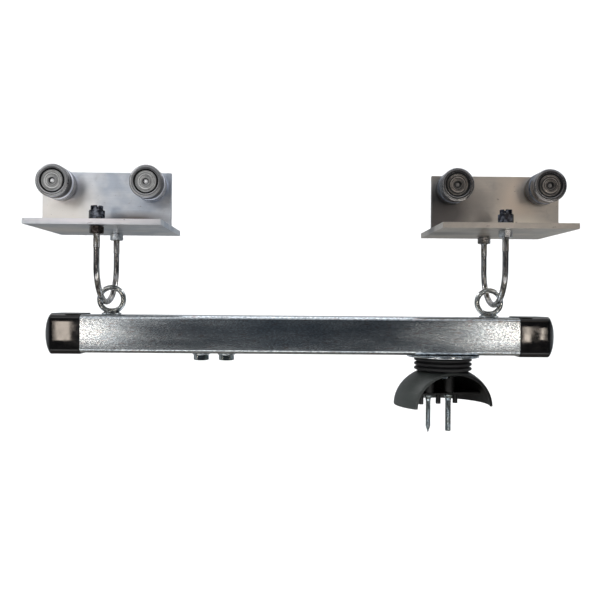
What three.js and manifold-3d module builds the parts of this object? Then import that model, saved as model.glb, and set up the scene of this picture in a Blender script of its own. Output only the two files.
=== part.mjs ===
// Sliding door beam hanger. Two roller trolleys run along a track. A square beam hangs below them, by eye
// bolts linked through U-bolts, and a domed holder swivels under the beam.
// Millimetres. +X runs along the beam, +Y points to the back, +Z is up. The origin is on the line that the
// rollers run on, midway between the trolleys.
import * as THREE from 'three';
import { mergeVertices } from 'three/addons/utils/BufferGeometryUtils.js';
import Module from 'manifold-3d';

const wasm = await Module();
wasm.setup();

// ---------------------------------------------------------------- driving dimensions
const GAP = 0.3; // left between pieces that touch
const PAST = 1; // how far a cutting tool runs past a face, or a joined shape into its neighbour
const SAME_POINT = 1e-4; // corners closer than this are one corner
const SIDES = { rod: 12, bolt: 16, roller: 20, collar: 24, dome: 28 }; // of round shapes
const CORNER_STEPS = 4;

const TROLLEY_HALF = 232; // from the middle of the beam to each trolley
const EYE_HALF = 226; // and to each eye bolt, a little inboard of its U-bolt
const BAR = { length: 152.4, depth: 127, thick: 6.35, webHeight: 62 };
const AXLE_ABOVE_PLATE = 46.3;
const STATION_HALF = 53.3; // from a trolley's middle to each of its two studs

const ROLLER = { radius: 19.05, width: 14, chamfer: 0.8, bore: 8 + GAP };
const FRONT_RECESS = { radius: 14.2, depth: 3.2 }; // takes the stud's head and the seal
const STUD = { headRadius: 12.4, headThick: 2.4, shaftRadius: 8, shoulderRadius: 11, shoulderThick: 2.5,
  threadRadius: 5, threadPast: 3, centreHole: 1.5, centreDepth: 3 };
const SEAL = { inner: 12.7, outer: 13.9, thick: 1.8, sunk: 0.6 };
const SPACER = { radius: 11.5, width: 2.4 };

const U_BOLT = { legHalf: 43, rodRadius: 3.4, threadRadius: 3.95, drop: 85.4, threadBelow: 24,
  threadAbove: 12.5 };
const U_NUT = { flats: 14.3, height: 8, bore: U_BOLT.threadRadius + GAP };
const CASTLE_NUT = { flats: 16, height: 9.5, crownRadius: 6.8, crownHeight: 5, slot: 2.6 };
const U_WASHER = { radius: 9.5, thick: 1.6 };

const TUBE = { side: 44.45, wall: 3, corner: 4.5, length: 579.6 };
const CAP = { skin: 1.3, pocket: 33, shoulder: 34, dome: 11.5, edge: 6, endFlat: 7, domeSteps: 4,
  softening: 0.3, roundest: 0.9 }; // softening: corner radius gained per mm that the end draws in
const EYE = { ringRadius: 14.3, rodRadius: 3, aboveSaddle: 2.9, rise: 18, collarRadius: 11.5,
  collarTop: 8.5, collarHeight: 4, shankRadius: 5, shankBelow: 15 };
const LOAD_BOLT = { middle: -103.5, spacing: 30, radius: 5, flats: 16, head: 6.4, washerRadius: 10.5,
  washerThick: 2, grip: 18 };
const INNER_NUT = { flats: 16, height: 8, bore: 5 + GAP };

const HOLDER_X = 171;
const DISC = { radius: 42.5, thick: 2.5 };
const COLLAR = { ribRadius: 34, grooveRadius: 30.5, height: 16, ribs: 3,
  flank: 0.25 }; // flank: the share of a rib that each of its slopes takes
const DOME = { radius: 58, height: 47, wall: 3, cutTop: 41, slice: 29, turn: THREE.MathUtils.degToRad(16) };
const FLOOR = { bottom: 11, thick: 2.5, front: 3 }; // the shelf across the back of the dome
const BOSS = { radius: 7.25, half: 13.5, behind: 10.5 };
const PEG = { radius: 3, places: [-23, 0, 23], below: 0.5 };
const POINTED = { side: -1, radius: 3.1, tipRadius: 0.6, taper: 7 };
const BLUNT = { side: 1, radius: 3.7, tipRadius: 3.1, taper: 1 };
const SCREW = { below: 34, above: 36, flare: 5.4, flareHeight: 5 }; // below and above the dome's rim
const PIVOT = { radius: 5, flats: 16, head: 6, threadPast: 3 };

// ---------------------------------------------------------------- places worked out from them
const AXLE_Z = ROLLER.radius;
const PLATE_TOP = AXLE_Z - AXLE_ABOVE_PLATE;
const PLATE_BOTTOM = PLATE_TOP - BAR.thick;
const SADDLE_Z = PLATE_BOTTOM - U_BOLT.drop; // middle of the U-bolt's rod at its lowest
const RING_Z = SADDLE_Z + EYE.aboveSaddle; // the rings hang slack round the U-bolts
const TUBE_TOP = RING_Z - EYE.rise;
const TUBE_Z = TUBE_TOP - TUBE.side / 2;
const TUBE_BOTTOM = TUBE_TOP - TUBE.side;
const DISC_TOP = TUBE_BOTTOM - GAP;
const COLLAR_TOP = DISC_TOP - DISC.thick - GAP;
const DOME_TOP = COLLAR_TOP - COLLAR.height - GAP;
const RIM_Z = DOME_TOP - DOME.cutTop;
const WEB_FRONT = -BAR.thick / 2;

// ---------------------------------------------------------------- materials
const finish = (color, roughness, metalness) => ({ color, roughness, metalness });
const ALUMINIUM = finish(0xb9b8b4, 0.45, 1);
const ROLLER_STEEL = finish(0x8d8f90, 0.35, 1);
const ZINC = finish(0xb4b8bb, 0.3, 1);
const GALVANISED = finish(0x9aa2a6, 0.4, 1);
const BLACK_OXIDE = finish(0x24262b, 0.4, 1);
const BLACK_GLOSS = finish(0x0b0b0c, 0.12, 0);
const BLACK_MATT = finish(0x1b1b1d, 0.6, 0);
const RUBBER = finish(0x111111, 0.8, 0);

// ---------------------------------------------------------------- solids
function toSolid(geometry) {
  const bare = geometry.clone();
  bare.deleteAttribute('normal');
  bare.deleteAttribute('uv');
  const merged = mergeVertices(bare, SAME_POINT);
  const vertProperties = new Float32Array(merged.attributes.position.array);
  const triVerts = new Uint32Array(merged.index.array);
  return new wasm.Manifold(new wasm.Mesh({ numProp: 3, vertProperties, triVerts }));
}

function toGeometry(solid) {
  const mesh = solid.getMesh();
  const geometry = new THREE.BufferGeometry();
  geometry.setAttribute('position', new THREE.BufferAttribute(mesh.vertProperties, 3));
  geometry.setIndex(new THREE.BufferAttribute(mesh.triVerts, 1));
  geometry.computeVertexNormals();
  return geometry;
}

function join(...geometries) {
  return toGeometry(geometries.map(toSolid).reduce((whole, next) => whole.add(next)));
}

function cut(geometry, ...tools) {
  return toGeometry(tools.map(toSolid).reduce((rest, tool) => rest.subtract(tool), toSolid(geometry)));
}

// A turned solid about the Y axis. The profile runs anticlockwise in (radius, along) and closes on itself,
// or starts and ends on the axis.
function turned(profile, sides) {
  return new THREE.LatheGeometry(profile.map(([radius, along]) => new THREE.Vector2(radius, along)), sides);
}

function ring(inner, outer, from, to, sides) {
  return turned([[inner, from], [outer, from], [outer, to], [inner, to], [inner, from]], sides);
}

// A plain round bar about the Y axis, between two places along it.
function round(radius, from, to, sides = SIDES.rod) {
  return new THREE.CylinderGeometry(radius, radius, to - from, sides).translate(0, (from + to) / 2, 0);
}

// A hexagon about the Y axis, with two corners along X.
function hexagon(flats, from, to) {
  const corner = flats / Math.sqrt(3);
  return new THREE.CylinderGeometry(corner, corner, to - from, 6)
    .rotateY(Math.PI / 6)
    .translate(0, (from + to) / 2, 0);
}

function hexNut(flats, bore, from, to) {
  return cut(hexagon(flats, from, to), round(bore, from - PAST, to + PAST, SIDES.bolt));
}

// A nut with a round crown on its +Y side, cut by three slots that cross on the axis.
function castleNut(from) {
  const { flats, height, crownRadius, crownHeight, slot } = CASTLE_NUT;
  const hexTop = from + height;
  const crown = ring(U_NUT.bore, crownRadius, hexTop - PAST, hexTop + crownHeight, SIDES.roller);
  const slots = [0, 1, 2].map((step) => new THREE.BoxGeometry(2 * flats, crownHeight, slot)
    .translate(0, hexTop + crownHeight / 2 + PAST, 0)
    .rotateY((step * Math.PI) / 3));
  return cut(join(hexNut(flats, U_NUT.bore, from, hexTop), crown), ...slots);
}

// Turns a shape made about the Y axis so that +Y points up.
function upright(geometry) {
  return geometry.rotateX(Math.PI / 2);
}

function roundedSquare(half, corner) {
  const flat = half - corner;
  const shape = new THREE.Shape();
  shape.moveTo(half, -flat);
  shape.absarc(flat, flat, corner, 0, Math.PI / 2);
  shape.absarc(-flat, flat, corner, Math.PI / 2, Math.PI);
  shape.absarc(-flat, -flat, corner, Math.PI, Math.PI * 1.5);
  shape.absarc(flat, -flat, corner, Math.PI * 1.5, Math.PI * 2);
  return shape;
}

// A rounded square bar along +X from x = 0.
function squareBar(half, corner, length) {
  return new THREE.ExtrudeGeometry(roundedSquare(half, corner), {
    depth: length, steps: 1, bevelEnabled: false, curveSegments: CORNER_STEPS,
  }).rotateY(Math.PI / 2);
}

// ---------------------------------------------------------------- the model's groups
const model = new THREE.Group();

function addPiece(parent, name, geometry, look) {
  const mesh = new THREE.Mesh(geometry, new THREE.MeshStandardMaterial(look));
  mesh.name = name;
  parent.add(mesh);
  return mesh;
}

function groupAt(parent, x, y, z) {
  const group = new THREE.Group();
  group.position.set(x, y, z);
  parent.add(group);
  return group;
}

// ---------------------------------------------------------------- trolleys
function tBar() {
  const plate = new THREE.BoxGeometry(BAR.length, BAR.depth, BAR.thick)
    .translate(0, 0, PLATE_TOP - BAR.thick / 2);
  const web = new THREE.BoxGeometry(BAR.length, BAR.thick, BAR.webHeight + BAR.thick / 2)
    .translate(0, 0, PLATE_TOP + (BAR.webHeight - BAR.thick / 2) / 2);
  const studHoles = [-1, 1].map((side) => round(STUD.threadRadius + GAP, -BAR.thick, BAR.thick)
    .translate(side * STATION_HALF, 0, AXLE_Z));
  const legHoles = [-1, 1].map((side) => upright(round(U_BOLT.threadRadius + GAP, -PAST, BAR.thick + PAST))
    .translate(0, side * U_BOLT.legHalf, PLATE_BOTTOM));
  return cut(join(plate, web), ...studHoles, ...legHoles);
}

class HalfCircle extends THREE.Curve {
  getPoint(t, target = new THREE.Vector3()) {
    const angle = Math.PI * (1 + t);
    return target.set(0, U_BOLT.legHalf * Math.cos(angle), U_BOLT.legHalf * Math.sin(angle));
  }
}

function uBolt() {
  const rod = new THREE.Shape().absarc(0, 0, U_BOLT.rodRadius, 0, Math.PI * 2);
  const bendZ = SADDLE_Z + U_BOLT.legHalf;
  const bend = new THREE.ExtrudeGeometry(rod, {
    extrudePath: new HalfCircle(), steps: SIDES.bolt, bevelEnabled: false, curveSegments: SIDES.rod / 2,
  }).translate(0, 0, bendZ);
  const threadFrom = PLATE_BOTTOM - U_BOLT.threadBelow;
  const threadTo = PLATE_TOP + U_BOLT.threadAbove;
  const legs = [-1, 1].flatMap((side) => [
    upright(round(U_BOLT.rodRadius, bendZ - PAST, threadFrom + PAST)).translate(0, side * U_BOLT.legHalf, 0),
    upright(round(U_BOLT.threadRadius, threadFrom, threadTo)).translate(0, side * U_BOLT.legHalf, 0),
  ]);
  return join(bend, ...legs);
}

function stud(frontY) {
  const threadEnd = BAR.thick / 2 + GAP + INNER_NUT.height + STUD.threadPast;
  const shoulderBack = WEB_FRONT - GAP;
  return turned([
    [0, frontY + STUD.centreDepth],
    [STUD.centreHole, frontY + STUD.centreDepth],
    [STUD.centreHole, frontY],
    [STUD.headRadius, frontY],
    [STUD.headRadius, frontY + STUD.headThick],
    [STUD.shaftRadius, frontY + STUD.headThick],
    [STUD.shaftRadius, shoulderBack - STUD.shoulderThick],
    [STUD.shoulderRadius, shoulderBack - STUD.shoulderThick],
    [STUD.shoulderRadius, shoulderBack],
    [STUD.threadRadius, shoulderBack],
    [STUD.threadRadius, threadEnd],
    [0, threadEnd],
  ], SIDES.bolt);
}

function frontRoller(front) {
  const back = front + ROLLER.width;
  return turned([
    [ROLLER.bore, front + FRONT_RECESS.depth],
    [FRONT_RECESS.radius, front + FRONT_RECESS.depth],
    [FRONT_RECESS.radius, front],
    [ROLLER.radius - ROLLER.chamfer, front],
    [ROLLER.radius, front + ROLLER.chamfer],
    [ROLLER.radius, back - ROLLER.chamfer],
    [ROLLER.radius - ROLLER.chamfer, back],
    [ROLLER.bore, back],
    [ROLLER.bore, front + FRONT_RECESS.depth],
  ], SIDES.roller);
}

function rearRoller(front) {
  const back = front + ROLLER.width;
  return turned([
    [ROLLER.bore, front],
    [ROLLER.radius - ROLLER.chamfer, front],
    [ROLLER.radius, front + ROLLER.chamfer],
    [ROLLER.radius, back - ROLLER.chamfer],
    [ROLLER.radius - ROLLER.chamfer, back],
    [ROLLER.bore, back],
    [ROLLER.bore, front],
  ], SIDES.roller);
}

// One stud with its two rollers, in the trolley's frame. Everything is stacked forwards from the web.
function addStation(trolley, name, side) {
  const place = groupAt(trolley, side * STATION_HALF, 0, AXLE_Z);
  const rearBack = WEB_FRONT - GAP - STUD.shoulderThick - GAP;
  const rearFront = rearBack - ROLLER.width;
  const spacerFront = rearFront - GAP - SPACER.width;
  const frontFront = spacerFront - GAP - ROLLER.width;
  const headFront = frontFront + GAP;
  const sealFront = headFront + SEAL.sunk;
  const nutFront = BAR.thick / 2 + GAP;
  addPiece(place, `${name}_stud`, stud(headFront), ROLLER_STEEL);
  addPiece(place, `${name}_rear_roller`, rearRoller(rearFront), ROLLER_STEEL);
  addPiece(place, `${name}_spacer`,
    ring(ROLLER.bore, SPACER.radius, spacerFront, spacerFront + SPACER.width, SIDES.bolt), BLACK_MATT);
  addPiece(place, `${name}_front_roller`, frontRoller(frontFront), ROLLER_STEEL);
  addPiece(place, `${name}_seal`,
    ring(SEAL.inner, SEAL.outer, sealFront, sealFront + SEAL.thick, SIDES.roller), RUBBER);
  addPiece(place, `${name}_axle_nut`,
    hexNut(INNER_NUT.flats, INNER_NUT.bore, nutFront, nutFront + INNER_NUT.height), ZINC);
}

function addUBoltFasteners(trolley, name, legY) {
  const leg = groupAt(trolley, 0, legY, 0);
  const washerTop = PLATE_TOP + GAP + U_WASHER.thick;
  const lowerNutTop = PLATE_BOTTOM - GAP;
  addPiece(leg, `${name}_washer`, upright(ring(U_NUT.bore, U_WASHER.radius,
    washerTop - U_WASHER.thick, washerTop, SIDES.bolt)), BLACK_OXIDE);
  addPiece(leg, `${name}_upper_nut`, upright(castleNut(washerTop + GAP)), BLACK_OXIDE);
  addPiece(leg, `${name}_lower_nut`,
    upright(hexNut(U_NUT.flats, U_NUT.bore, lowerNutTop - U_NUT.height, lowerNutTop)), ZINC);
}

function addTrolley(name, x) {
  const trolley = groupAt(model, x, 0, 0);
  const outward = Math.sign(x);
  addPiece(trolley, `${name}_t_bar`, tBar(), ALUMINIUM);
  addPiece(trolley, `${name}_u_bolt`, uBolt(), ZINC);
  addUBoltFasteners(trolley, `${name}_front`, -U_BOLT.legHalf);
  addUBoltFasteners(trolley, `${name}_rear`, U_BOLT.legHalf);
  addStation(trolley, `${name}_outer`, outward);
  addStation(trolley, `${name}_inner`, -outward);
}

// ---------------------------------------------------------------- beam
const LOAD_BOLT_PLACES = [-0.5, 0.5].map((step) => LOAD_BOLT.middle + step * LOAD_BOLT.spacing);

function squareTube() {
  const outer = squareBar(TUBE.side / 2, TUBE.corner, TUBE.length);
  const inner = squareBar(TUBE.side / 2 - TUBE.wall, TUBE.corner - TUBE.wall, TUBE.length + 2 * PAST)
    .translate(-PAST, 0, 0);
  const tube = cut(outer, inner).translate(-TUBE.length / 2, 0, TUBE_Z);
  const holeAt = (x, radius, wallBottom) => upright(round(radius + GAP, -PAST, TUBE.wall + PAST))
    .translate(x, 0, wallBottom);
  const eyeHoles = [-1, 1].map((side) => holeAt(side * EYE_HALF, EYE.shankRadius, TUBE_TOP - TUBE.wall));
  const boltHoles = LOAD_BOLT_PLACES.map((x) => holeAt(x, LOAD_BOLT.radius, TUBE_BOTTOM));
  return cut(tube, ...eyeHoles, ...boltHoles, holeAt(HOLDER_X, PIVOT.radius, TUBE_BOTTOM));
}

// A closed skin through rings of points that all have the same number of points, with flat ends.
function skinned(rings) {
  const count = rings[0].length;
  const points = rings.flat();
  const index = [];
  for (let row = 0; row < rings.length - 1; row += 1) {
    for (let i = 0; i < count; i += 1) {
      const a = row * count + i;
      const b = row * count + ((i + 1) % count);
      index.push(a, b, a + count, b, b + count, a + count);
    }
  }
  const last = (rings.length - 1) * count;
  for (let i = 1; i < count - 1; i += 1) {
    index.push(0, i + 1, i);
    index.push(last, last + i, last + i + 1);
  }
  const geometry = new THREE.BufferGeometry().setFromPoints(points);
  geometry.setIndex(index);
  return geometry;
}

// The cap's outer skin, along +X from its mouth. Its end is a low dome, and the corners grow rounder up it.
function capOutside() {
  const half = TUBE.side / 2 + GAP + CAP.skin;
  const endRadius = (half * half + CAP.dome * CAP.dome) / (2 * CAP.dome);
  const domeStart = Math.sqrt(endRadius ** 2 - half ** 2);
  const alongDome = (height) => Math.sqrt(endRadius ** 2 - height ** 2) - domeStart;
  const section = (x, height, corner) => roundedSquare(height, corner).getPoints(CORNER_STEPS)
    .slice(0, -1)
    .map((point) => new THREE.Vector3(x, point.x, point.y));
  const sections = [section(0, half, CAP.edge)];
  for (let step = 0; step <= CAP.domeSteps; step += 1) {
    const height = half - ((half - CAP.endFlat) * step) / CAP.domeSteps;
    const corner = Math.min(height * CAP.roundest, CAP.edge + (half - height) * CAP.softening);
    sections.push(section(CAP.shoulder + alongDome(height), height, corner));
  }
  return skinned(sections);
}

function endCap() {
  const pocket = squareBar(TUBE.side / 2 + GAP, TUBE.corner, CAP.pocket + PAST).translate(-PAST, 0, 0);
  return cut(capOutside(), pocket);
}

function eyeBolt() {
  const loop = new THREE.TorusGeometry(EYE.ringRadius, EYE.rodRadius, SIDES.rod, SIDES.roller)
    .rotateX(Math.PI / 2)
    .translate(0, 0, EYE.rise);
  const stem = upright(turned([
    [0, -EYE.shankBelow],
    [EYE.shankRadius, -EYE.shankBelow],
    [EYE.shankRadius, GAP],
    [EYE.collarRadius, GAP],
    [EYE.collarRadius, EYE.collarHeight / 2],
    [EYE.collarTop, EYE.collarHeight],
    [0, EYE.collarHeight],
  ], SIDES.bolt));
  return join(loop, stem);
}

function addEyeBolt(name, x) {
  const place = groupAt(model, x, 0, TUBE_TOP);
  const nutTop = -TUBE.wall - GAP;
  addPiece(place, `${name}_eye_bolt`, eyeBolt(), ZINC);
  addPiece(place, `${name}_eye_nut`,
    upright(hexNut(INNER_NUT.flats, INNER_NUT.bore, nutTop - INNER_NUT.height, nutTop)), ZINC);
}

function addLoadBolt(name, x) {
  const place = groupAt(model, x, 0, TUBE_BOTTOM);
  const washerTop = -GAP;
  const headTop = washerTop - LOAD_BOLT.washerThick - GAP;
  const nutBottom = TUBE.wall + GAP;
  const head = hexagon(LOAD_BOLT.flats, headTop - LOAD_BOLT.head, headTop);
  const shank = round(LOAD_BOLT.radius, headTop - PAST, LOAD_BOLT.grip);
  addPiece(place, `${name}_bolt`, upright(join(head, shank)), ZINC);
  addPiece(place, `${name}_bolt_washer`, upright(ring(INNER_NUT.bore, LOAD_BOLT.washerRadius,
    washerTop - LOAD_BOLT.washerThick, washerTop, SIDES.bolt)), ZINC);
  addPiece(place, `${name}_bolt_nut`,
    upright(hexNut(INNER_NUT.flats, INNER_NUT.bore, nutBottom, nutBottom + INNER_NUT.height)), ZINC);
}

function addBeam() {
  addPiece(model, 'square_tube', squareTube(), GALVANISED);
  const capStart = TUBE.length / 2 - CAP.pocket + GAP;
  const right = addPiece(model, 'right_end_cap', endCap(), BLACK_GLOSS);
  right.position.set(capStart, 0, TUBE_Z);
  const left = addPiece(model, 'left_end_cap', endCap(), BLACK_GLOSS);
  left.position.set(-capStart, 0, TUBE_Z);
  left.rotation.z = Math.PI;
  addEyeBolt('left', -EYE_HALF);
  addEyeBolt('right', EYE_HALF);
  LOAD_BOLT_PLACES.forEach((x, i) => addLoadBolt(i === 0 ? 'left_load' : 'right_load', x));
}

// ---------------------------------------------------------------- domed holder
function ribbedCollar() {
  const profile = [[PIVOT.radius + GAP, 0]];
  const pitch = COLLAR.height / COLLAR.ribs;
  for (let rib = 0; rib < COLLAR.ribs; rib += 1) {
    const bottom = rib * pitch;
    profile.push([COLLAR.grooveRadius, bottom]);
    profile.push([COLLAR.ribRadius, bottom + pitch * COLLAR.flank]);
    profile.push([COLLAR.ribRadius, bottom + pitch * (1 - COLLAR.flank)]);
  }
  profile.push([COLLAR.grooveRadius, COLLAR.height]);
  profile.push([PIVOT.radius + GAP, COLLAR.height]);
  profile.push([PIVOT.radius + GAP, 0]);
  return upright(turned(profile, SIDES.collar));
}

function bowl(radius, height, top) {
  const ball = new THREE.SphereGeometry(1, SIDES.dome, SIDES.dome / 2)
    .rotateX(Math.PI / 2)
    .scale(radius, radius, height);
  const keep = new THREE.BoxGeometry(3 * radius, 3 * radius, 2 * top);
  return toGeometry(toSolid(ball).intersect(toSolid(keep)));
}

// The shell in its own frame: the rim is at z = 0, and the sliced side faces -Y before it is turned.
function domeShell() {
  const big = 4 * DOME.radius;
  const belowRim = new THREE.BoxGeometry(big, big, big).translate(0, 0, -big / 2);
  const hollow = bowl(DOME.radius - DOME.wall, DOME.height - DOME.wall, DOME.cutTop - DOME.wall);
  const slice = new THREE.BoxGeometry(big, big, big).translate(0, -DOME.slice - big / 2, 0);
  const pivotHole = upright(round(PIVOT.radius + GAP, DOME.cutTop - DOME.wall - PAST, DOME.cutTop + PAST));
  return cut(bowl(DOME.radius, DOME.height, DOME.cutTop), belowRim, hollow, slice, pivotHole);
}

// What fills the back of the shell: a shelf, the two screw bosses above it and the pegs below it.
function domeShelf() {
  const reach = 2 * DOME.radius;
  const shelf = new THREE.BoxGeometry(reach, reach, FLOOR.thick)
    .translate(0, FLOOR.front + reach / 2, FLOOR.bottom + FLOOR.thick / 2);
  const bosses = [POINTED, BLUNT].map(({ side }) => upright(
    round(BOSS.radius, FLOOR.bottom, DOME.cutTop, SIDES.bolt)).translate(side * BOSS.half, BOSS.behind, 0));
  const inset = DOME.wall + GAP;
  const room = bowl(DOME.radius - inset, DOME.height - inset, DOME.cutTop - inset);
  const above = toGeometry(toSolid(join(shelf, ...bosses)).intersect(toSolid(room)));
  const pegs = PEG.places.map((x) => upright(round(PEG.radius, -PEG.below, FLOOR.bottom + PAST))
    .translate(x, BOSS.behind, 0));
  const screwHoles = [POINTED, BLUNT].map(({ side, radius }) => upright(round(radius + GAP, 0, SCREW.above))
    .translate(side * BOSS.half, BOSS.behind, 0));
  return cut(join(above, ...pegs), ...screwHoles);
}

function screw({ radius, tipRadius, taper }) {
  const flareTop = FLOOR.bottom - GAP;
  const top = SCREW.above - GAP;
  return upright(turned([
    [0, -SCREW.below],
    [tipRadius, -SCREW.below],
    [radius, taper - SCREW.below],
    [radius, flareTop - SCREW.flareHeight],
    [SCREW.flare, flareTop],
    [radius, flareTop],
    [radius, top],
    [0, top],
  ], SIDES.rod));
}

// The bolt that the holder turns on, as one with the nut inside the tube that closes it.
function pivotBolt() {
  const headTop = DOME_TOP - DOME.wall - GAP;
  const nutBottom = TUBE_BOTTOM + TUBE.wall + GAP;
  const nutTop = nutBottom + INNER_NUT.height;
  const head = hexagon(PIVOT.flats, headTop - PIVOT.head, headTop);
  const shank = round(PIVOT.radius, headTop - PAST, nutTop + PIVOT.threadPast);
  return upright(join(head, shank, hexagon(INNER_NUT.flats, nutBottom, nutTop)));
}

function addHolder() {
  const holder = groupAt(model, HOLDER_X, 0, 0);
  addPiece(holder, 'backing_disc', upright(ring(PIVOT.radius + GAP, DISC.radius,
    DISC_TOP - DISC.thick, DISC_TOP, SIDES.dome)), ZINC);
  const collar = addPiece(holder, 'ribbed_collar', ribbedCollar(), BLACK_MATT);
  collar.position.z = COLLAR_TOP - COLLAR.height;

  const shell = groupAt(holder, 0, 0, RIM_Z);
  shell.rotation.z = DOME.turn;
  addPiece(shell, 'dome_shell', domeShell(), BLACK_MATT);
  addPiece(shell, 'dome_shelf', domeShelf(), BLACK_MATT);
  for (const [name, shape] of [['pointed_screw', POINTED], ['blunt_screw', BLUNT]]) {
    const piece = addPiece(shell, name, screw(shape), ZINC);
    piece.position.set(shape.side * BOSS.half, BOSS.behind, 0);
  }

  addPiece(holder, 'pivot_bolt', pivotBolt(), ZINC);
}

addTrolley('left', -TROLLEY_HALF);
addTrolley('right', TROLLEY_HALF);
addBeam();
addHolder();

export default model;
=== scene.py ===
"""The finished look of a sliding door hanger: two roller trolleys, a beam and a swivelling domed holder.

Shapes are made in millimetres in a frame of their own, then placed in the row's frame by the boxes of the
CAD nodes that they stand for. +X runs along the beam, +Y points to the back and +Z is up.
"""

import math

import bmesh
import bpy
from mathutils import Matrix, Vector


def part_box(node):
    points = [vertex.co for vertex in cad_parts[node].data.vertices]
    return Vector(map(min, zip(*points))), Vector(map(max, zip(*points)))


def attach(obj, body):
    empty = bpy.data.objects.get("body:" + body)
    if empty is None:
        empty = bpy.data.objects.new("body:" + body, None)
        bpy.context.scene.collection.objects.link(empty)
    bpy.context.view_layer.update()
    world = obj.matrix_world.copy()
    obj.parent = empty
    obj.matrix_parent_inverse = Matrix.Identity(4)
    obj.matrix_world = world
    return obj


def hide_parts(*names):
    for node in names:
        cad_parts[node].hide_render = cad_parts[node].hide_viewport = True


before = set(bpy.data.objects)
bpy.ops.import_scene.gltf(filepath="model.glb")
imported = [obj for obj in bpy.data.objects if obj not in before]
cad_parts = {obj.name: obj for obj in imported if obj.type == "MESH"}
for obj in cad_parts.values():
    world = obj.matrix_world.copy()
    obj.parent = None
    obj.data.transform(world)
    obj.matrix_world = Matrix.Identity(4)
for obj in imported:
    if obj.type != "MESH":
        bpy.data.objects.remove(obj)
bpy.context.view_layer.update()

MM = 0.001
SIDES = ("left", "right")
STATIONS = tuple(f"{side}_{place}" for side in SIDES for place in ("outer", "inner"))
ROUND_SIDES = 72  # of the larger turned shapes
ROD_SIDES = 24  # of rods, bolts and small posts
FINE_SIDES = 2 * ROD_SIDES
SHARP = math.radians(38)  # faces that meet at more than this keep a crisp edge

# millimetres that more than one piece goes by
M10_BORE = 5.3
LEG_BORE = 4.25  # round the U-bolt's legs
ROLLER_BORE = 8.3
SEAL_BORE = 12.7
HALF_WEB = 3.175  # the webs stand astride y = 0

# -------- camera
CAMERA = {
    "place": (-0.0103, -0.8007, -0.1164),
    "turn": 0.0116,  # towards +X from straight along +Y, in radians
    "rise": 0.0018,
    "roll": 0.0084,
    "lens": 40.09,
    "sensor": 36.0,
}


def add_camera():
    data = bpy.data.cameras.new("camera")
    data.lens = CAMERA["lens"]
    data.sensor_width = CAMERA["sensor"]
    data.clip_start = 0.02
    camera = bpy.data.objects.new("camera", data)
    bpy.context.scene.collection.objects.link(camera)
    upright = Matrix.Rotation(math.radians(90) + CAMERA["rise"], 4, "X")
    swung = Matrix.Rotation(-CAMERA["turn"], 4, "Z")
    rolled = Matrix.Rotation(CAMERA["roll"], 4, "Z")
    camera.matrix_world = Matrix.Translation(CAMERA["place"]) @ swung @ upright @ rolled
    bpy.context.scene.camera = camera


# -------- materials
class Graph:
    """A shader node tree, with short calls that add a node and give back one of its outputs."""

    def __init__(self, tree):
        self.nodes = tree.nodes
        self.links = tree.links

    def node(self, kind, inputs=(), output=0, **settings):
        made = self.nodes.new("ShaderNode" + kind)
        for key, value in settings.items():
            setattr(made, key, value)
        for key, value in dict(inputs).items():
            self.put(value, made.inputs[key])
        return made.outputs[output]

    def put(self, value, socket):
        """Links value to socket where it comes from a node, and sets it there where it's a constant."""
        if isinstance(value, bpy.types.NodeSocket):
            self.links.new(value, socket)
        elif socket.type == "RGBA":
            socket.default_value = (*value, 1.0)
        else:
            socket.default_value = value

    def between(self, value, low, high, out_low=0.0, out_high=1.0):
        """Stretches value so that low gives out_low and high gives out_high, and no further."""
        settings = {"Value": value, "From Min": low, "From Max": high}
        settings |= {"To Min": out_low, "To Max": out_high}
        return self.node("MapRange", settings, clamp=True)

    def mixed(self, share, first, second):
        """A colour from first, at share 0, to second, at share 1."""
        made = self.nodes.new("ShaderNodeMix")
        made.data_type = "RGBA"
        for value, socket in ((share, made.inputs[0]), (first, made.inputs[6]), (second, made.inputs[7])):
            self.put(value, socket)
        return made.outputs[2]

    def maths(self, operation, first, second=0.0):
        return self.node("Math", {0: first, 1: second}, operation=operation)


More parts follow.
